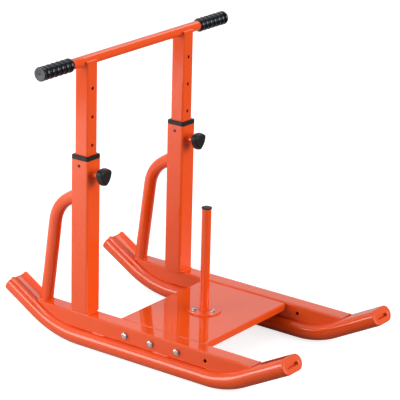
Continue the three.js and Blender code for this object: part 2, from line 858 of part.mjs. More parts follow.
function pegTube() {
  const outer = roundRing(pegDiameter / 2);
  const inner = roundRing(pegDiameter / 2 - pegWall);
  return straight(axisX, axisY, [[pegBottom, outer, inner], [pegTop, outer, inner]]);
}

function pegCap() {
  const rim = capDiameter / 2;
  const spigot = pegDiameter / 2 - pegWall - seatGap;
  const seat = pegTop + seatGap;
  return turned([
    [0, pegTop - capSpigot], [spigot - fineChamfer, pegTop - capSpigot],
    [spigot, pegTop - capSpigot + fineChamfer],
    [spigot, seat], [rim, seat], [rim, seat + capRim], [rim * 3 / 4, seat + capRim + capDome * 3 / 4],
    [0, seat + capRim + capDome],
  ]).rotateX(Math.PI / 2);
}

// Assembly

const sled = new THREE.Group();
const frame = groupAt(sled, 0, 0, 0);
const handle = groupAt(sled, 0, 0, 0);

const railBoltGrip = railWidth + plateThickness + 3 * seatGap;
const flangeBoltGrip = flangeThickness + plateThickness + 3 * seatGap;
const stations = runnerStations();
const runnerEnds = [
  { end: 'rear', place: stations[0], facing: Math.PI },
  { end: 'front', place: stations[stations.length - 1], facing: 0 },
];

for (const [side, sign] of [['left', 1], ['right', -1]]) {
  const flank = groupAt(frame, sign * halfTrack, 0, 0);
  node(`${side}_runner`, runnerTube(), paint, flank);
  runnerEnds.forEach(({ end, place, facing }) => {
    const plug = node(`${side}_${end}_runner_plug`, runnerPlug(place.pinch), plugPlastic, flank);
    plug.position.set(0, place.y, place.z);
    plug.rotation.set(-Math.abs(place.slope), 0, facing, 'ZXY');
  });
  node(`${side}_rail`, railTube(), paint, flank);

  const upright = groupAt(flank, sign * postOffset, 0, 0);
  node(`${side}_brace`, braceTube(sign), paint, upright);
  const post = groupAt(upright, 0, postY, 0);
  node(`${side}_post`, postTube(), paint, post);
  node(`${side}_post_collar`, postCollar(), blackPlastic, post);

  railBolts.forEach((y, i) => {
    const bolt = node(`${side}_rail_bolt_${i + 1}`, hexBolt(railBolt, railBoltGrip), zincSteel, flank);
    bolt.position.set(sign * (railWidth / 2 + seatGap), y, railMiddle);
    bolt.rotation.z = (-sign * Math.PI) / 2;
    const nut = node(`${side}_rail_nut_${i + 1}`, hexNut(railBolt), zincSteel, flank);
    nut.position.set(sign * (railWidth / 2 - railBoltGrip), y, railMiddle);
    nut.rotation.z = (-sign * Math.PI) / 2;
  });

  const lock = groupAt(upright, 0, postFront, lockHeight);
  lock.rotation.x = Math.PI;
  node(`${side}_lock_boss`, lockBoss(), paint, lock);
  node(`${side}_lock_barrel`, lockBarrel(), zincSteel, lock);
  node(`${side}_lock_spring`, lockSpring(), zincSteel, lock);
  node(`${side}_lock_pin`, lockPin(), zincSteel, lock);
  node(`${side}_lock_knob`, lockKnob(), blackPlastic, lock);

  const arm = groupAt(handle, sign * (halfTrack + postOffset), postY, 0);
  node(`${side}_stem`, stemTube(), paint, arm);
  node(`${side}_stem_foot`, stemFoot(), blackPlastic, arm);

  const grip = node(`${side}_grip`, ribbedGrip(), blackRubber, handle);
  grip.position.set(sign * (gripSpan / 2 - gripLength), postY, barHeight);
  grip.rotation.z = (-sign * Math.PI) / 2;
}

const bar = node('handlebar', handlebarTube(), paint, handle);
bar.position.set(0, postY, barHeight);

node('platform', platformPan(), paint, frame);
const pegStand = groupAt(frame, 0, pegY, 0);
node('peg_flange', pegFlange(), paint, pegStand);
node('plate_peg', pegTube(), paint, pegStand);
node('peg_cap', pegCap(), blackPlastic, pegStand);
flangeBoltPlaces().forEach(([x, y], i) => {
  const bolt = node(`peg_flange_bolt_${i + 1}`, hexBolt(flangeBolt, flangeBoltGrip), zincSteel, frame);
  bolt.position.set(x, y, flangeTop + seatGap);
  bolt.rotation.x = Math.PI / 2;
  const nut = node(`peg_flange_nut_${i + 1}`, hexNut(flangeBolt), zincSteel, frame);
  nut.position.set(x, y, plateTop - plateThickness - seatGap);
  nut.rotation.x = Math.PI / 2;
});

export default sled;
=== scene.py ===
import math

import bmesh
import bpy
from mathutils import Matrix, Vector
from mathutils.bvhtree import BVHTree
from mathutils.geometry import convex_hull_2d


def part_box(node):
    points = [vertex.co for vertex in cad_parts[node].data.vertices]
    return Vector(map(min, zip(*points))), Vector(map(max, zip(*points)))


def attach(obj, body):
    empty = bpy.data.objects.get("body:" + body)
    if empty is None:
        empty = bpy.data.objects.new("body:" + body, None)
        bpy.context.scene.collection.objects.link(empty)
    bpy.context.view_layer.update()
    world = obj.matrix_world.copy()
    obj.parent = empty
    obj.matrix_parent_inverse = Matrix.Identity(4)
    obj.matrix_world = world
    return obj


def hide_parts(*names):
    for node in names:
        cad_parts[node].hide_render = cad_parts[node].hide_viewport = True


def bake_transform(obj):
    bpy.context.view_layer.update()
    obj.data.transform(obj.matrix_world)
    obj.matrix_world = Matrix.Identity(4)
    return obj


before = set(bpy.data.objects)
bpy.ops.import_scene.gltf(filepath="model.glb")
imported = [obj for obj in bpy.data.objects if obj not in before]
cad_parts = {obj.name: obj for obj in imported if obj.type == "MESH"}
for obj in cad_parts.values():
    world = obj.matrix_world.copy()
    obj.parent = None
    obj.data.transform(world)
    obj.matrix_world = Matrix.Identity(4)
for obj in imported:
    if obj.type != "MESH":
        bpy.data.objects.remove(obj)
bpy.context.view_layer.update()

MM = 0.001

# ---------------------------------------------------------------- materials

# A mix node has its own sockets for each kind of value that it mixes.
FIRST_COLOUR, SECOND_COLOUR, MIXED_COLOUR = 6, 7, 2
FIRST_NUMBER, SECOND_NUMBER, MIXED_NUMBER = 2, 3, 0
# Noise keeps mostly between these values, so its contrast is stretched from them.
NOISE_LOW, NOISE_HIGH = 0.3, 0.7
# A wave texture's bands lie pi / 10 / scale metres apart, which is 2.5 mm here.
STEEL_RING_SCALE = 125


def linear(code):
    """An sRGB hex colour as the linear colour that the shaders take."""
    shares = [int(code[i:i + 2], 16) / 255 for i in (1, 3, 5)]
    return tuple(c / 12.92 if c <= 0.04045 else ((c + 0.055) / 1.055) ** 2.4
                 for c in shares) + (1.0,)


def add(tree, kind, settings=None, links=None):
    """Adds a node. A setting is one of its sockets where it has that socket, or else a property."""
    made = tree.nodes.new(kind)
    for name, value in (settings or {}).items():
        if isinstance(name, int) or name in made.inputs:
            made.inputs[name].default_value = value
        else:
            setattr(made, name, value)
    for name, socket in (links or {}).items():
        tree.links.new(socket, made.inputs[name])
    return made


def noise(tree, place, size, detail):
    """Noise with features that are size across."""
    made = add(tree, "ShaderNodeTexNoise", {"Scale": 1 / size, "Detail": detail}, {"Vector": place})
    return made.outputs["Fac"]


def tone_between(tree, first, second, share):
    """A colour that goes from the first hex colour to the second as share does."""
    made = add(tree, "ShaderNodeMix",
               {"data_type": "RGBA", FIRST_COLOUR: linear(first), SECOND_COLOUR: linear(second)},
               {0: share})
    return made.outputs[MIXED_COLOUR]


def roughness_between(tree, smooth, rough, share):
    """A roughness that goes from smooth to rough as the noise share does."""
    made = add(tree, "ShaderNodeMapRange",
               {"From Min": NOISE_LOW, "From Max": NOISE_HIGH, "To Min": smooth, "To Max": rough},
               {"Value": share})
    return made.outputs["Result"]


def bump(tree, strength, depth, height):
    """The shader's normal for a skin that is depth deep where height is 1."""
    made = add(tree, "ShaderNodeBump", {"Strength": strength, "Distance": depth},
               {"Height": height})
    return made.outputs["Normal"]


def finish(name, surface):
    """A material with that name; surface(tree, place) adds its nodes and returns the shader."""
    material = bpy.data.materials.new(name)
    material.use_nodes = True
    tree = material.node_tree
    tree.nodes.clear()
    place = add(tree, "ShaderNodeTexCoord").outputs["Object"]
    shader = surface(tree, place)
    add(tree, "ShaderNodeOutputMaterial", links={"Surface": shader.outputs["BSDF"]})
    return material


def powder_coated_steel(tree, place):
    # Polyester powder melts into a thick skin that mirrors the room: it keeps a faint orange peel a
    # few millimetres across, drawn at 6 mm so that it shows, and its depth of colour drifts slowly.
    drift = noise(tree, place, 90 * MM, 2.0)
    peel = noise(tree, place, 6 * MM, 1.0)
    return add(tree, "ShaderNodeBsdfPrincipled", {"IOR": 1.5},
               {"Base Color": tone_between(tree, "#EF4F13", "#F35719", drift),
                "Roughness": roughness_between(tree, 0.04, 0.07, drift),
                "Normal": bump(tree, 0.05, 0.04 * MM, peel)})


def moulded_polypropylene(tree, place):
    # Injection-moulded and self-coloured: fine flow clouding and a satin skin.
    cloud = noise(tree, place, 14 * MM, 3.0)
    grain = noise(tree, place, 1.5 * MM, 2.0)
    return add(tree, "ShaderNodeBsdfPrincipled", {"IOR": 1.49, "Roughness": 0.32},
               {"Base Color": tone_between(tree, "#EA4E16", "#EE5A1E", cloud),
                "Normal": bump(tree, 0.15, 0.05 * MM, grain)})


def spark_eroded_nylon(tree, place):
    # Glass-filled nylon from a spark-eroded mould: charcoal, with a fine pebbled grain, drawn at
    # 0.8 mm, that scatters most of its shine.
    pebble = add(tree, "ShaderNodeTexVoronoi", {"Scale": 1 / (0.8 * MM)}, {"Vector": place})
    cloud = noise(tree, place, 9 * MM, 3.0)
    return add(tree, "ShaderNodeBsdfPrincipled",
               {"IOR": 1.53, "Roughness": 0.42, "Specular IOR Level": 0.3},
               {"Base Color": tone_between(tree, "#0A0A0B", "#121214", cloud),
                "Normal": bump(tree, 0.3, 0.06 * MM, pebble.outputs["Distance"])})


def moulded_rubber(tree, place):
    # Moulded rubber: nearly black, with a cool sheen, and a skin that is a little uneven.
    skin = noise(tree, place, 2.5 * MM, 4.0)
    return add(tree, "ShaderNodeBsdfPrincipled", {"IOR": 1.52, "Specular Tint": linear("#DCE4F4")},
               {"Base Color": tone_between(tree, "#030304", "#08090B", skin),
                "Roughness": roughness_between(tree, 0.12, 0.2, skin),
                "Normal": bump(tree, 0.2, 0.08 * MM, skin)})


def painted_pale_grip_end(tree, place):
    # The end of a moulded grip: quite matt, with its grey tone painted paler as a painted highlight
    # of the light on the end.
    end_speckle = noise(tree, place, 1.2 * MM, 4.0)
    return add(tree, "ShaderNodeBsdfPrincipled", {"IOR": 1.5, "Roughness": 0.6},
               {"Base Color": tone_between(tree, "#3C3D40", "#4C4D50", end_speckle),
                "Normal": bump(tree, 0.2, 0.08 * MM, end_speckle)})


def bright_zinc_plate(tree, place):
    # Electroplated zinc, passivated clear: a bright metal, clouded over a few millimetres.
    cloud = noise(tree, place, 4 * MM, 4.0)
    return add(tree, "ShaderNodeBsdfPrincipled", {"Metallic": 1.0},
               {"Base Color": tone_between(tree, "#A09E9B", "#C6C2BD", cloud),
                "Roughness": roughness_between(tree, 0.1, 0.2, cloud)})


def turned_steel(tree, place):
    # Turned steel, left bare and oiled: rings from the tool along the pin, drawn 2.5 mm apart.
    ring = add(tree, "ShaderNodeTexWave",
               {"wave_type": "BANDS", "bands_direction": "Y", "Scale": STEEL_RING_SCALE,
                "Distortion": 0.3}, {"Vector": place}).outputs["Fac"]
    return add(tree, "ShaderNodeBsdfPrincipled", {"Metallic": 1.0, "Roughness": 0.3},
               {"Base Color": tone_between(tree, "#8C8D90", "#A8A9AB", ring),
                "Normal": bump(tree, 0.2, 0.02 * MM, ring)})


coat = finish("powder_coated_steel", powder_coated_steel)
plug = finish("moulded_polypropylene", moulded_polypropylene)
nylon = finish("spark_eroded_nylon", spark_eroded_nylon)
rubber = finish("moulded_rubber", moulded_rubber)
# The grip ends' paler grey rubber is a painted highlight.
pale_end_rubber = finish("painted_pale_grip_end", painted_pale_grip_end)
zinc = finish("bright_zinc_plate", bright_zinc_plate)
steel = finish("turned_steel", turned_steel)

# The finish of a node goes by the first of these words that its name holds; the rest is painted.
FINISHES = (("runner_plug", plug), ("collar", nylon), ("knob", nylon), ("cap", nylon),
            ("foot", nylon), ("grip", rubber), ("bolt", zinc), ("nut", zinc),
            ("barrel", steel), ("pin", steel), ("spring", steel))

for name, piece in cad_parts.items():
    for place in piece.material_slots:
        place.material = next((look for word, look in FINISHES if word in name), coat)


# ---------------------------------------------------------------- making pieces

# Edges that turn less than this are shaded as a smooth curve.
SHARP_TURN = math.radians(50)
# Radius at which a ring counts as closed to a point.
POLE = 0.02 * MM
# Points nearer than this are one point: in a solid's copy, in a turned piece and in a loft.
COPY_MERGE, TURNED_MERGE, LOFT_MERGE = 0.02 * MM, 0.01 * MM, 0.05 * MM
TURNED_STEPS = 48
OUTLINE_REACH = 0.05 * MM


def keep(name, shape, looks, body, replaced=()):
    """Turns a finished shape into the named piece, with its looks, on the body that carries it.

    A piece that stretches between two bodies gets None here, and is left without a body.
    """
    for face in shape.faces:
        face.smooth = True
    for edge in shape.edges:
        edge.smooth = edge.calc_face_angle(0.0) < SHARP_TURN
    mesh = bpy.data.meshes.new(name)
    shape.to_mesh(mesh)
    shape.free()
    for look in looks:
        mesh.materials.append(look)
    piece = bpy.data.objects.new(name, mesh)
    bpy.context.scene.collection.objects.link(piece)
    if body:
        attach(piece, body)
    if replaced:
        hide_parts(*replaced)
    return piece


def paced(path, pace, closed):
    """Points along path, pace apart or a little less."""
    corners = path + path[:1] if closed else path
    spans = [(b - a).length for a, b in zip(corners, corners[1:])]
    count = math.ceil(sum(spans) / pace)
    points = []
    leg, passed = 0, 0.0
    for step in range(count if closed else count + 1):
        along = sum(spans) * step / count
        while leg < len(spans) - 1 and along > passed + spans[leg]:
            passed += spans[leg]
            leg += 1
        points.append(corners[leg].lerp(corners[leg + 1], min((along - passed) / spans[leg], 1.0)))
    return points


def ring_of(made):
    """The free edge of an extrusion, and its points."""
    return ([part for part in made if isinstance(part, bmesh.types.BMEdge) and part.is_boundary],
            [part for part in made if isinstance(part, bmesh.types.BMVert)])


RIPPLE_PACE = 1.6 * MM
RIPPLE_DEPTH = 0.07
BEAD_SIDES = 10


def weld(name, path, radius, body="frame", closed=False):
    """A weld's bead along path, rippled by the welder's weave. It fades out at open ends."""
    places = paced(path, RIPPLE_PACE, closed)
    count = len(places)
    rise = max(2, round(radius / RIPPLE_PACE))
    shape = bmesh.new()
    edges = ring = first = None
    for i, place in enumerate(places):
        behind = places[i - 1] if closed or i else place
        ahead = places[(i + 1) % count] if closed or i + 1 < count else place
        heading = (ahead - behind).normalized()
        ends = 1.0 if closed else min(1.0, math.sqrt((min(i, count - 1 - i) + 0.5) / rise))
        wide = radius * ends * (1 + RIPPLE_DEPTH * (-1) ** i)
        if ring is None:
            turn = heading.to_track_quat("Z", "Y").to_matrix().to_4x4()
            ring = bmesh.ops.create_circle(shape, segments=BEAD_SIDES, radius=wide,
                                           matrix=Matrix.Translation(place) @ turn)["verts"]
            edges = first = list(shape.edges)
        else:
            edges, ring = ring_of(bmesh.ops.extrude_edge_only(shape, edges=edges)["geom"])
            turn = last_heading.rotation_difference(heading).to_matrix().to_4x4()
            swell = Matrix.Scale(wide / last_wide, 4)
            bmesh.ops.transform(shape, verts=ring, matrix=(
                Matrix.Translation(place) @ turn @ swell @ Matrix.Translation(-last_place)))
        last_place, last_heading, last_wide = place, heading, wide
    if closed:
        bmesh.ops.bridge_loops(shape, edges=edges + first)
    else:
        bmesh.ops.holes_fill(shape, edges=shape.edges)
    bmesh.ops.recalc_face_normals(shape, faces=shape.faces)
    return keep(name, shape, [coat], body)


def spun(name, profile, middle, axis, looks, body, replaced=()):
    """A turned piece: profile gives its radius, and its place along axis from middle."""
    shape = bmesh.new()
    across = axis.orthogonal().normalized()
    corners = [shape.verts.new(middle + across * radius + axis * along)
               for radius, along in profile]
    for a, b in zip(corners, corners[1:]):
        shape.edges.new((a, b))
    bmesh.ops.spin(shape, geom=list(shape.verts) + list(shape.edges), cent=middle, axis=axis,
                   dvec=(0, 0, 0), angle=2 * math.pi, steps=TURNED_STEPS, use_merge=True)
    bmesh.ops.remove_doubles(shape, verts=shape.verts, dist=TURNED_MERGE)
    bmesh.ops.recalc_face_normals(shape, faces=shape.faces)
    return keep(name, shape, looks, body, replaced)


def lofted(name, rings, looks, body, replaced=(), closed=False):
    """A skin over rings of matching points; when it is closed, the last ring joins the first."""
    shape = bmesh.new()
    corners = [shape.verts.new(point) for point in rings[0]]
    edges = start = [shape.edges.new(pair) for pair in zip(corners, corners[1:] + corners[:1])]
    numbers = {vert: i for i, vert in enumerate(corners)}
    for ring in rings[1:]:
        # An extrusion gives its points in no set order, so each is known by the one under it.
        under = {tuple(vert.co): i for vert, i in numbers.items()}
        edges, made = ring_of(bmesh.ops.extrude_edge_only(shape, edges=edges)["geom"])
        numbers = {vert: under[tuple(vert.co)] for vert in made}
        for vert, i in numbers.items():
            vert.co = ring[i]
    if closed:
        bmesh.ops.bridge_loops(shape, edges=edges + start)
    bmesh.ops.remove_doubles(shape, verts=shape.verts, dist=LOFT_MERGE)
    bmesh.ops.recalc_face_normals(shape, faces=shape.faces)
    return keep(name, shape, looks, body, replaced)


def rounded(name, node, looks, body=None):
    """A copy of the node's solid, shaded as the smooth curves that its facets stand for."""
    shape = bmesh.new()
    shape.from_mesh(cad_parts[node].data)
    bmesh.ops.remove_doubles(shape, verts=shape.verts, dist=COPY_MERGE)
    return keep(name, shape, looks, body, (node,))


def middle_of(node):
    low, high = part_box(node)
    return (low + high) / 2


def skin_of(node):
    """The solid's skin, for straight lines to meet."""
    shape = bmesh.new()
    shape.from_mesh(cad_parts[node].data)
    skin = BVHTree.FromBMesh(shape)
    shape.free()
    return skin


def cut_outline(node, axis, level):
    """Points round a node where it is cut off square to axis (0, 1 or 2) at level."""
    others = [i for i in (0, 1, 2) if i != axis]
    flat = [Vector((v.co[others[0]], v.co[others[1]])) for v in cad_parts[node].data.vertices
            if abs(v.co[axis] - level) < OUTLINE_REACH]
    ring = []
    for i in convex_hull_2d(flat):
        point = Vector((0, 0, 0))
        point[axis] = level
        point[others[0]], point[others[1]] = flat[i]
        ring.append(point)
    return ring


def quarter_turn(steps):
    """Angles from 0 to a right angle."""
    return [math.pi / 2 * step / steps for step in range(steps + 1)]


# ---------------------------------------------------------------- welds

SIDES = {"left": 1, "right": -1}
SEAM_GAP = 0.3 * MM
# Lines that look down for a skin start this far above the rail.
ABOVE_ALL = 1.0

# Where the rail is welded to the runner. Between these stretches the seam is open.
SEAM_STEP = 6 * MM
STITCHES = ((-93 * MM, -37 * MM), (136 * MM, 182 * MM))
FRONT_STITCH_END = -222 * MM
REAR_STITCH_START = 257 * MM
STITCH_RADIUS = 4.2 * MM
STITCH_INSET = 3.1 * MM
STITCH_LIFT = 2 * MM
RAIL_END_BEAD = 3 * MM
RAIL_END_LIFT = 1 * MM

# The bead round a post's foot lies on the rail, and bends down where it passes its sides.
POST_BEAD = 3.6 * MM
FLUSH_BEAD = 4 * MM
FOOT_DROP = 2.6 * MM
FOOT_OUTER_TURN = 8 * MM
FOOT_INNER_TURN = 5 * MM
FOOT_OVERHANG = 1 * MM
FOOT_CORNER = 4 * MM

TUBE_BEAD = 2.4 * MM
BOSS_BEAD = 1.6 * MM
SADDLE_BEAD = 2 * MM
SADDLE_STEPS = 9
RAMP_PROUD = 0.1 * MM
RAMP_ROOT = 5 * MM
RAMP_ROUND = 4 * MM
RAMP_ROUND_STEPS = 5
RAMP_TOP_TURN = math.radians(12)


def steps_between(start, stop):
    count = max(2, math.ceil(abs(stop - start) / SEAM_STEP))
    return [start + (stop - start) * i / count for i in range(count + 1)]


bar_middle = middle_of("handlebar")
bar_radius = (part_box("handlebar")[1].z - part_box("handlebar")[0].z) / 2


def ramp(name, low_x, high_x, face, outwards):
    """A weld ground flush with a stem's face, which fills the ledge between stem and bar."""
    shape = bmesh.new()
    flush = face + outwards * RAMP_PROUD
    root = bar_middle.z - RAMP_ROOT
    section = [(flush, root), (flush, bar_middle.z),
               (bar_middle.y + outwards * bar_radius * math.cos(RAMP_TOP_TURN),
                bar_middle.z + bar_radius * math.sin(RAMP_TOP_TURN)),
               (bar_middle.y, bar_middle.z), (face - outwards * RAMP_ROOT, root)]
    end = shape.faces.new([shape.verts.new((low_x - RAMP_PROUD, y, z)) for y, z in section])
    made = bmesh.ops.extrude_face_region(shape, geom=[end])["geom"]
    bmesh.ops.translate(shape, vec=(high_x - low_x + 2 * RAMP_PROUD, 0, 0),
                        verts=[part for part in made if isinstance(part, bmesh.types.BMVert)])
    bmesh.ops.recalc_face_normals(shape, faces=shape.faces)
    upper_edges = [edge for edge in shape.edges
                   if (edge.verts[0].co - edge.verts[1].co).length > bar_radius * 2
                   and edge.verts[0].co.z > bar_middle.z - RAMP_PROUD]
    bmesh.ops.bevel(shape, geom=upper_edges, offset=RAMP_ROUND, segments=RAMP_ROUND_STEPS,
                    profile=0.5, affect="EDGES", material=-1)
    return keep(name, shape, [coat], "handle")


for side, sign in SIDES.items():
    runner_skin = skin_of(f"{side}_runner")
    rail_low, rail_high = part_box(f"{side}_rail")
    post_low, post_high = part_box(f"{side}_post")
    rail_middle = (rail_low.x + rail_high.x) / 2
    seam = (rail_high.x - rail_low.x) / 2 - STITCH_INSET

    def on_runner(x, y, lift):
        """The point lift above the runner's skin."""
        hit = runner_skin.ray_cast(Vector((x, y, rail_high.z + ABOVE_ALL)), Vector((0, 0, -1)))[0]
        return hit + Vector((0, 0, lift))

    def along_seam(x, places):
        return [on_runner(x, y, STITCH_LIFT) for y in places]

    for edge, outwards in (("outer", sign), ("inner", -sign)):
        for number, (start, stop) in enumerate(STITCHES, 1):
            weld(f"{side}_{edge}_seam_weld_{number}",
                 along_seam(rail_middle + outwards * seam, steps_between(start, stop)),
                 STITCH_RADIUS)

    for end, start, stop in (("front", FRONT_STITCH_END, rail_low.y),
                             ("rear", REAR_STITCH_START, rail_high.y)):
        along = along_seam(rail_middle + seam, steps_between(start, stop))
        across = [on_runner(x, stop, RAIL_END_LIFT)
                  for x in steps_between(rail_middle + seam, rail_middle - seam)]
        back = along_seam(rail_middle - seam, reversed(steps_between(start, stop)))
        weld(f"{side}_rail_{end}_weld", along[:-1] + across + back[1:], RAIL_END_BEAD)

    foot = rail_high.z
    front, rear = post_low.y - SEAM_GAP, post_high.y + SEAM_GAP
    low_bead, high_bead = foot - FOOT_DROP, foot + SEAM_GAP
    outer_x = post_low.x if sign < 0 else post_high.x
    inner_x = rail_middle - sign * (rail_high.x - rail_low.x) / 2
    outer_edge = outer_x - sign * (FLUSH_BEAD - SEAM_GAP)
    outer_turn = outer_x - sign * FOOT_OUTER_TURN
    inner_turn = inner_x + sign * FOOT_INNER_TURN
    inner_edge = inner_x - sign * FOOT_OVERHANG
    weld(f"{side}_post_foot_weld", [
        Vector((outer_edge, front, low_bead)),
        Vector((outer_turn, front, high_bead)),
        Vector((inner_turn, front, high_bead)),
        Vector((inner_edge, post_low.y + FOOT_CORNER, low_bead)),
        Vector((inner_edge, post_high.y - FOOT_CORNER, low_bead)),
        Vector((inner_turn, rear, high_bead)),
        Vector((outer_turn, rear, high_bead)),
        Vector((outer_edge, rear, low_bead)),
    ], POST_BEAD, closed=True)

    for name, node, axis, level, radius in (("brace_foot", "brace", 2, high_bead, TUBE_BEAD),
                                            ("brace_top", "brace", 1, rear, TUBE_BEAD),
                                            ("boss", "lock_boss", 1, front, BOSS_BEAD)):
        weld(f"{side}_{name}_weld", cut_outline(f"{side}_{node}", axis, level), radius, closed=True)

    stem_low, stem_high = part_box(f"{side}_stem")
    saddle_turns = [math.pi * (step + 0.5) / SADDLE_STEPS for step in range(SADDLE_STEPS)]
    for number, face in enumerate((stem_low.x, stem_high.x), 1):
        saddle = [Vector((face, bar_middle.y - bar_radius * math.cos(turn),
                          bar_middle.z - bar_radius * math.sin(turn))) for turn in saddle_turns]
        weld(f"{side}_saddle_weld_{number}", saddle, SADDLE_BEAD, body="handle")
    for edge, face, outwards in (("front", stem_low.y, -1), ("rear", stem_high.y, 1)):
        ramp(f"{side}_handlebar_{edge}_weld", stem_low.x, stem_high.x, face, outwards)

peg_low, peg_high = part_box("plate_peg")
weld("peg_weld", cut_outline("plate_peg", 2, peg_low.z), TUBE_BEAD, closed=True)


# ---------------------------------------------------------------- runners and their plugs

# The runner's line, as in the solid: a straight middle, and a bend and a straight tip at each end.
REAR_STRAIGHT, REAR_BEND = 228.936 * MM, 320 * MM
REAR_RISE, REAR_TIP = math.radians(30.5), 111 * MM
FRONT_STRAIGHT, FRONT_BEND = 227.064 * MM, 260 * MM
FRONT_RISE, FRONT_TIP = math.radians(27.7), 158 * MM
BEND_STEPS = 28
# Rings stand this close to an end or a bend, so that its shading doesn't run on.
EDGE_PACE = 1 * MM
# The pinch grows along the rear bend by this power of the way along it.
PINCH_POWER = 3

# The runner's section, as in the solid: two round sides with flat walls between them.
RUNNER_HALF = 24 * MM
RUNNER_FLAT = 21 * MM
RUNNER_WALL = 2 * MM
CORNER_STEPS = 45
DISH_STEPS = 4

# The pinched section's corner: degrees from the side up to the top, and how far it reaches there
# as a share of half the height. A crease and then a bead stand between the side and the dish.
PINCHED_CORNER = ((0, 1.0), (34, 1.02), (45, 0.95), (52, 0.89),
                  (59, 1.02), (67, 1.14), (76, 1.14), (90, 0.88))
DISHED_MIDDLE = 0.78


def pinched_share(degrees):
    """The corner's reach at that turn, eased from one listed turn to the next."""
    pairs = list(zip(PINCHED_CORNER, PINCHED_CORNER[1:]))
    (start, low_share), (stop, high_share) = next(
        (pair for pair in pairs if degrees <= pair[1][0]), pairs[-1])
    eased = (1 - math.cos(math.pi * (degrees - start) / (stop - start))) / 2
    return low_share + (high_share - low_share) * eased


def oval_ring(middle, up, flat=RUNNER_FLAT, half=RUNNER_HALF, inset=0.0, pinch=0.0):
    """Points round a flat oval whose round sides stand 2 * flat apart."""
    def reach(share):
        return half * (1 - pinch * (1 - share)) - inset

    side = []
    for step in range(-CORNER_STEPS, CORNER_STEPS + 1):
        turn = math.pi / 2 * step / CORNER_STEPS
        length = reach(pinched_share(math.degrees(turn)) if step > 0 else 1.0)
        side.append((flat + length * math.cos(turn), length * math.sin(turn)))
    edge = PINCHED_CORNER[-1][1]
    for step in range(DISH_STEPS - 1, 0, -1):
        across = step / DISH_STEPS
        side.append((flat * across, reach(DISHED_MIDDLE + (edge - DISHED_MIDDLE) * across ** 2)))
    other_side = [(-across, rise) for across, rise in reversed(side)]
    outline = side + [(0.0, reach(DISHED_MIDDLE))] + other_side
    return [middle + Vector((across, 0, 0)) + up * rise for across, rise in outline]


def runner_stations(middle_x):
    """The runner's line from its rear end to its front end: places, the way up, and the pinch."""
    stations = []

    def add_station(heading, straight, radius, turn, tip, pinch):
        along = straight + radius * math.sin(turn) + tip * math.cos(turn)
        climbed = radius * (1 - math.cos(turn)) + tip * math.sin(turn)
        stations.append((Vector((middle_x, heading * along, RUNNER_HALF + climbed)),
                         Vector((0, -heading * math.sin(turn), math.cos(turn))), pinch))

    for tip in (REAR_TIP, REAR_TIP - EDGE_PACE, EDGE_PACE):
        add_station(1, REAR_STRAIGHT, REAR_BEND, REAR_RISE, tip, 1.0)
    for step in range(BEND_STEPS, -1, -1):
        share = step / BEND_STEPS
        add_station(1, REAR_STRAIGHT, REAR_BEND, REAR_RISE * share, 0.0, share ** PINCH_POWER)
    for step in range(BEND_STEPS + 1):
        add_station(-1, FRONT_STRAIGHT, FRONT_BEND, FRONT_RISE * step / BEND_STEPS, 0.0, 0.0)
    for tip in (EDGE_PACE, FRONT_TIP - EDGE_PACE, FRONT_TIP):
        add_station(-1, FRONT_STRAIGHT, FRONT_BEND, FRONT_RISE, tip, 0.0)
    return stations


PLUG_RIM = 7.1 * MM
PLUG_ROUND = 4.5 * MM
PLUG_ROUND_STEPS = 5
PLUG_SPIGOT = 18 * MM
PLUG_GAP = 0.2 * MM
SLOT_FLAT = 20 * MM
SLOT_HALF = 4.6 * MM
SLOT_DEPTH = 11 * MM
SLOT_DROP = 1.8 * MM
SLOT_LIP = 0.8 * MM
# The slot's lip is rounded: its middle ring lies this share of its size in from both its ends.
LIP_CREST_SHARE = 0.3


def plug_rings(end, up, outwards, pinch):
    """A plug from the back of its spigot over its rim and its face into the slot."""
    def rim(along, inset):
        return oval_ring(end + outwards * along, up, inset=inset, pinch=pinch)

    def slot(along, wider=0.0, half=SLOT_HALF):
        middle = end + outwards * along - up * SLOT_DROP
        return oval_ring(middle, up, flat=SLOT_FLAT, half=half + wider)

    back = end - outwards * PLUG_SPIGOT - up * SLOT_DROP
    rings = [oval_ring(back, up, flat=POLE, half=POLE),
             rim(-PLUG_SPIGOT, RUNNER_WALL + 2 * PLUG_GAP),
             rim(PLUG_GAP, RUNNER_WALL + PLUG_GAP), rim(PLUG_GAP, 0.0)]
    for turn in quarter_turn(PLUG_ROUND_STEPS):
        rings.append(rim(PLUG_RIM - PLUG_ROUND * (1 - math.sin(turn)),
                         PLUG_ROUND * (1 - math.cos(turn))))
    rings += [slot(PLUG_RIM, SLOT_LIP),
              slot(PLUG_RIM - SLOT_LIP * LIP_CREST_SHARE, SLOT_LIP * LIP_CREST_SHARE),
              slot(PLUG_RIM - SLOT_LIP), slot(PLUG_RIM - SLOT_DEPTH),
              slot(PLUG_RIM - SLOT_DEPTH, half=POLE)]
    return rings


for side in SIDES:
    stations = runner_stations(middle_of(f"{side}_runner").x)
    outer = [oval_ring(place, up, pinch=pinch) for place, up, pinch in stations]
    inner = [oval_ring(place, up, inset=RUNNER_WALL, pinch=pinch)
             for place, up, pinch in reversed(stations)]
    lofted(f"{side}_flat_oval_runner", outer + inner, [coat], "frame",
           (f"{side}_runner",), closed=True)
    for end, sign, (place, up, pinch) in (("rear", 1, stations[0]), ("front", -1, stations[-1])):
        outwards = Vector((0, up.z, -up.y)) * sign
        lofted(f"{side}_{end}_slotted_plug", plug_rings(place, up, outwards, pinch), [plug],
               "frame", (f"{side}_{end}_runner_plug",))


# ---------------------------------------------------------------- grips, knobs, braces and cap

GRIP_RIBS = 6
GRIP_GROOVE = 4.5 * MM
GRIP_END = 10 * MM
GRIP_BORE_CLEARANCE = 0.3 * MM
RIB_SHARE = 0.92
RIB_START_SHARE = 0.04
RIB_FULLNESS = 0.75
RIB_STEPS = 12
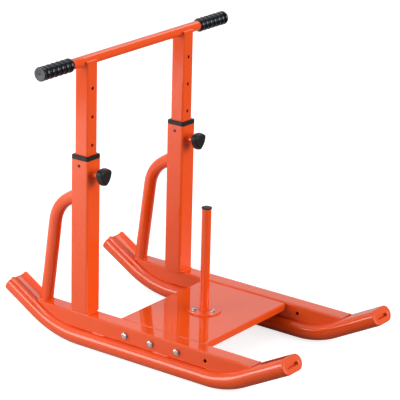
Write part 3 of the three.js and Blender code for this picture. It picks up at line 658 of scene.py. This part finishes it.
# The collar behind the end disc: how far below the ribs it starts, where that is and where it ends.
COLLAR_DROP, COLLAR_START, COLLAR_TOP = 0.6 * MM, 0.8 * MM, 2 * MM
GRIP_END_ROUND = 2.5 * MM
GRIP_END_STEPS = 6
# The shallow disc in the grip's end: its edge and its floor as shares of the ribs, and its depth.
DISC_EDGE_SHARE, DISC_FLOOR_SHARE, DISC_DEPTH = 0.62, 0.58, 0.6 * MM
# The vent in the middle of the disc, and the end wall that it goes into.
VENT_FUNNEL, VENT_MOUTH, VENT_BORE = 4 * MM, 2.6 * MM, 2.4 * MM
VENT_MOUTH_DEPTH, VENT_DEPTH = 1 * MM, 4 * MM
BORE_END_SHARE, BORE_END = 0.9, 5 * MM
# Faces this close to the end, and within this share of the ribs, belong to the disc with the
# painted paler tone.
PALE_END_DEPTH, PALE_END_SHARE = 0.8 * MM, 0.9


def grip_profile(length, rib, bore):
    """From the inner lip over the ribs to the end disc and its vent hole, and back in the bore."""
    pitch = (length - GRIP_END) / GRIP_RIBS
    groove = rib - GRIP_GROOVE
    profile = [(bore, 0.0), (groove, 0.0)]
    for number in range(GRIP_RIBS):
        for step in range(RIB_STEPS + 1):
            across = step / RIB_STEPS
            swell = math.sin(math.pi * across) ** RIB_FULLNESS
            profile.append((rib - GRIP_GROOVE * (1 - swell),
                            (number + across * RIB_SHARE + RIB_START_SHARE) * pitch))
    collar = length - GRIP_END
    profile += [(groove, collar), (rib - COLLAR_DROP, collar + COLLAR_START),
                (rib, collar + COLLAR_TOP)]
    for turn in quarter_turn(GRIP_END_STEPS):
        profile.append((rib - GRIP_END_ROUND * (1 - math.cos(turn)),
                        length - GRIP_END_ROUND * (1 - math.sin(turn))))
    floor = length - DISC_DEPTH
    wall = length - VENT_DEPTH
    profile += [(rib * DISC_EDGE_SHARE, length), (rib * DISC_FLOOR_SHARE, floor),
                (VENT_FUNNEL, floor), (VENT_MOUTH, length - VENT_MOUTH_DEPTH),
                (VENT_BORE, wall), (bore * BORE_END_SHARE, wall),
                (bore, length - BORE_END), (bore, 0.0)]
    return profile


for side, sign in SIDES.items():
    low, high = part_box(f"{side}_grip")
    inner_end, outer_end = (low.x, high.x) if sign > 0 else (high.x, low.x)
    middle = Vector((inner_end, (low.y + high.y) / 2, (low.z + high.z) / 2))
    rib = (high.z - low.z) / 2
    profile = grip_profile(high.x - low.x, rib, bar_radius + GRIP_BORE_CLEARANCE)
    grip = spun(f"{side}_ribbed_grip", profile, middle, Vector((sign, 0, 0)),
                [rubber, pale_end_rubber], "handle", (f"{side}_grip",))
    # The end disc's faces take the second look, a paler grey that is a painted highlight.
    for face in grip.data.polygons:
        from_axis = (face.center - middle).yz.length
        if abs(face.center.x - outer_end) < PALE_END_DEPTH and from_axis < rib * PALE_END_SHARE:
            face.material_index = 1

KNOB_STEPS = 72
KNOB_REACH = 30.5 * MM
KNOB_CORNER = 0.95
KNOB_BLEND = 22
KNOB_POCKET = 13 * MM
# Rings of a knob, from the floor of its round pocket to its back, and over its sides to its face:
# how far along its axis, and its reach there, both as shares.
POCKET_SHARES = ((0.45, 0.0), (0.45, 1.0), (0.03, 1.0), (0.0, 1.06))
BODY_SHARES = ((0.0, 0.86), (0.03, 0.92), (0.09, 0.97), (0.2, 1.0), (0.4, 0.99), (0.6, 0.965),
               (0.8, 0.925), (0.88, 0.9), (0.94, 0.86), (0.975, 0.79), (0.99, 0.7), (0.965, 0.62),
               (0.96, 0.5), (0.965, 0.25), (0.965, 0.0))


def cornered(turn):
    """Reach of a three-cornered outline in the direction turn, as a share.

    Each side bulges round the corner across from it. Corners that are 1 from the middle are the
    square root of 3 apart, and KNOB_CORNER then cuts them short.
    """
    third = 2 * math.pi / 3
    lean = (turn + math.pi / 2) % third - third / 2
    side = math.sqrt(3 - math.sin(lean) ** 2) - math.cos(lean)
    return (side ** -KNOB_BLEND + KNOB_CORNER ** -KNOB_BLEND) ** (-1 / KNOB_BLEND)


def knob_ring(axle, along, reach_at):
    """A ring round the axle; reach_at gives its reach in each direction."""
    ring = []
    for step in range(KNOB_STEPS):
        turn = 2 * math.pi * step / KNOB_STEPS
        reach = max(POLE, reach_at(turn))
        ring.append(axle + Vector((reach * math.cos(turn), along, reach * math.sin(turn))))
    return ring


for side in SIDES:
    low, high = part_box(f"{side}_lock_knob")
    pin_middle = middle_of(f"{side}_lock_pin")
    axle = Vector((pin_middle.x, high.y, pin_middle.z))
    length = low.y - high.y
    rings = [knob_ring(axle, length * along, lambda turn: share * KNOB_POCKET)
             for along, share in POCKET_SHARES]
    rings += [knob_ring(axle, length * along, lambda turn: share * KNOB_REACH * cornered(turn))
              for along, share in BODY_SHARES]
    lofted(f"{side}_three_cornered_knob", rings, [nylon], f"{side}_lock_pin",
           (f"{side}_lock_knob",))

for side in SIDES:
    rounded(f"{side}_bent_brace", f"{side}_brace", [coat], "frame")
    spring = rounded(f"{side}_coiled_spring", f"{side}_lock_spring", [steel])
    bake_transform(spring)

# The cap: a stem in the peg, a thin edge on the peg's end, and a domed crown. The shares are of the
# cap's radius, and of its height over the peg.
CAP_STEM_SHARE, CAP_SHOULDER_SHARE = 0.7, 0.72
CAP_EDGE_IN, CAP_EDGE_UP = 0.3 * MM, 0.4 * MM
CROWN_FLAT_SHARE, CROWN_ROUND_SHARE = 0.8, 0.2
CROWN_START_SHARE, CROWN_RISE_SHARE = 0.5, 0.36
CROWN_STEPS = 8
CROWN_TOP_SHARES = (0.4, 0.97)

cap_low, cap_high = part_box("peg_cap")
cap_middle = middle_of("peg_cap")
cap_radius = (cap_high.x - cap_low.x) / 2
cap_rise = cap_high.z - peg_high.z
cap_stem = cap_low.z - peg_high.z
cap_profile = [(0.0, cap_stem), (cap_radius * CAP_STEM_SHARE, cap_stem),
               (cap_radius * CAP_SHOULDER_SHARE, SEAM_GAP), (cap_radius - CAP_EDGE_IN, SEAM_GAP),
               (cap_radius, SEAM_GAP + CAP_EDGE_UP)]
for turn in quarter_turn(CROWN_STEPS):
    cap_profile.append((cap_radius * (CROWN_FLAT_SHARE + CROWN_ROUND_SHARE * math.cos(turn)),
                        cap_rise * (CROWN_START_SHARE + CROWN_RISE_SHARE * math.sin(turn))))
cap_profile += [(cap_radius * CROWN_TOP_SHARES[0], cap_rise * CROWN_TOP_SHARES[1]), (0.0, cap_rise)]
spun("peg_domed_cap", cap_profile, Vector((cap_middle.x, cap_middle.y, peg_high.z)),
     Vector((0, 0, 1)), [nylon], "frame", ("peg_cap",))


# ---------------------------------------------------------------- camera, floor and light

# The view that the sled is shown from, and its lens as a distance in pixels of the square picture.
CAMERA_PLACE = (-4.648948, -3.402203, 2.413894)
CAMERA_AZIMUTH, CAMERA_ELEVATION, CAMERA_ROLL = -53.852933, 19.022321, 1.425069
FOCAL_PIXELS, PICTURE_PIXELS = 2134.4057, 400
SENSOR_MM = 36
NEAREST, FARTHEST = 0.1, 100


def camera_at(place, azimuth, elevation, roll):
    """Camera at place, looking the way that the turn, the rise and the roll give."""
    a, e, r = math.radians(azimuth), math.radians(elevation), math.radians(roll)
    back = Vector((math.sin(a) * math.cos(e), -math.cos(a) * math.cos(e), math.sin(e)))
    right = Vector((math.cos(a), math.sin(a), 0))
    up = back.cross(right)
    across = right * math.cos(r) + up * math.sin(r)
    top = up * math.cos(r) - right * math.sin(r)
    data = bpy.data.cameras.new("camera")
    data.sensor_width = SENSOR_MM
    data.lens = FOCAL_PIXELS / PICTURE_PIXELS * SENSOR_MM
    data.clip_start, data.clip_end = NEAREST, FARTHEST
    made = bpy.data.objects.new("camera", data)
    turn = Matrix((across, top, back)).transposed()
    made.matrix_world = Matrix.Translation(place) @ turn.to_4x4()
    bpy.context.scene.collection.objects.link(made)
    bpy.context.scene.camera = made


camera_at(CAMERA_PLACE, CAMERA_AZIMUTH, CAMERA_ELEVATION, CAMERA_ROLL)


def reached_by(tree, *rays):
    """1 for light paths that arrive as one of the named kinds of ray, and 0 for the others."""
    path = add(tree, "ShaderNodeLightPath")
    sockets = [path.outputs[f"Is {ray} Ray"] for ray in rays]
    found = sockets[0]
    for socket in sockets[1:]:
        either = add(tree, "ShaderNodeMath", {"operation": "MAXIMUM"}, {0: found, 1: socket})
        found = either.outputs[0]
    return found


def studio_side(tree, place, towards, dim_at, bright_at, dim):
    """How bright the studio is there: bright behind the sled and dim on the camera's side. In the
    world this is light; on the floor it is a painted fall-off of light.
    """
    along = add(tree, "ShaderNodeVectorMath", {"operation": "DOT_PRODUCT", 1: towards}, {0: place})
    fade = add(tree, "ShaderNodeMapRange",
               {"interpolation_type": "SMOOTHSTEP", "From Min": dim_at, "From Max": bright_at,
                "To Min": dim, "To Max": 1.0}, {"Value": along.outputs["Value"]})
    return fade.outputs["Result"]


FLOOR_HALF = 30
# The floor lies this far under the soles, so that the two don't share a plane.
FLOOR_DROP = 0.5 * MM
FLOOR_GLOW = 0.76


def floor_paint(tree, place):
    # Matt white studio floor, seen as white with a soft shadow. In reflections its tone is painted
    # darker towards the front, a painted fall-off of light as on a floor lit from behind, and it
    # throws little light back up.
    seen = reached_by(tree, "Camera", "Transmission")
    mirrored = reached_by(tree, "Glossy")
    level = studio_side(tree, place, towards=(-0.1, 1, 0), dim_at=-0.5, bright_at=0.2, dim=0.3)
    # Painted fall-off of light: the floor's reflected tone darkens towards the front.
    mirrored_painted_falloff = tone_between(tree, "#000000", "#F8F8F8", level)
    tone = add(tree, "ShaderNodeMix", {"data_type": "RGBA"},
               {0: mirrored, FIRST_COLOUR: tone_between(tree, "#808080", "#CCCCCC", seen),
                SECOND_COLOUR: mirrored_painted_falloff}).outputs[MIXED_COLOUR]
    glow = add(tree, "ShaderNodeMapRange", {"To Min": 0.0, "To Max": FLOOR_GLOW}, {"Value": seen})
    return add(tree, "ShaderNodeBsdfPrincipled",
               {"Roughness": 1.0, "Specular IOR Level": 0.0, "Emission Color": (1, 1, 1, 1)},
               {"Base Color": tone, "Emission Strength": glow.outputs["Result"]})


floor_shape = bmesh.new()
bmesh.ops.create_grid(floor_shape, x_segments=2, y_segments=2, size=FLOOR_HALF)
floor_mesh = bpy.data.meshes.new("floor")
floor_shape.to_mesh(floor_mesh)
floor_shape.free()
floor = bpy.data.objects.new("floor", floor_mesh)
floor_mesh.transform(Matrix.Translation((0, 0, -FLOOR_DROP)))
floor_mesh.materials.append(finish("studio_floor", floor_paint))
bpy.context.scene.collection.objects.link(floor)


def lamp(name, kind, place, towards, long_side=(0, 0, 1), **settings):
    """A lamp at place that faces towards; its first size lies along long_side as far as it can."""
    data = bpy.data.lights.new(name, kind)
    for setting, value in settings.items():
        setattr(data, setting, value)
    back = (Vector(place) - Vector(towards)).normalized()
    across = (Vector(long_side) - back * back.dot(Vector(long_side))).normalized()
    turn = Matrix((across, back.cross(across), back)).transposed()
    made = bpy.data.objects.new(name, data)
    made.matrix_world = Matrix.Translation(place) @ turn.to_4x4()
    bpy.context.scene.collection.objects.link(made)


lamp("overhead", "SUN", (-0.3, 0.5, 3.0), (0, 0, 0), energy=0.2, angle=math.radians(60))
lamp("front", "SUN", (0.9, -3.0, 0.9), (0, 0, 0), energy=2.35, angle=math.radians(40))
lamp("left", "SUN", (-3.0, 0.9, 0.7), (0, 0, 0), energy=0.1, angle=math.radians(50))
lamp("long soft box", "AREA", (-2.1, 1.45, 1.05), (0, 0, 0.1), long_side=(0.6, 1, 0),
     energy=53, shape="RECTANGLE", size=2.6, size_y=1.15)
lamp("right soft box", "AREA", (2.1, 0.5, 2.4), (0, 0.2, 0.85),
     energy=4, shape="RECTANGLE", size=0.9, size_y=0.7)

# The room: white where it is seen, graded from back to front in reflections, and as a light dim.
ROOM_LIGHT = 0.4
world = bpy.data.worlds.new("studio")
bpy.context.scene.world = world
world.use_nodes = True
sky = world.node_tree
sky.nodes.clear()
heading = add(sky, "ShaderNodeTexCoord").outputs["Generated"]
mirrored_sky = studio_side(sky, heading, towards=(-0.3, 0.87, 0.4),
                           dim_at=-0.25, bright_at=0.3, dim=0.25)
lit = add(sky, "ShaderNodeMapRange", {"To Min": ROOM_LIGHT, "To Max": 1.0},
          {"Value": reached_by(sky, "Camera", "Transmission")})
level = add(sky, "ShaderNodeMix", {"data_type": "FLOAT"},
            {0: reached_by(sky, "Glossy"), FIRST_NUMBER: lit.outputs["Result"],
             SECOND_NUMBER: mirrored_sky}).outputs[MIXED_NUMBER]
glow = add(sky, "ShaderNodeBackground", {"Color": (1, 1, 1, 1)}, {"Strength": level})
add(sky, "ShaderNodeOutputWorld", links={"Surface": glow.outputs["Background"]})

bpy.context.scene.view_settings.view_transform = "Standard"
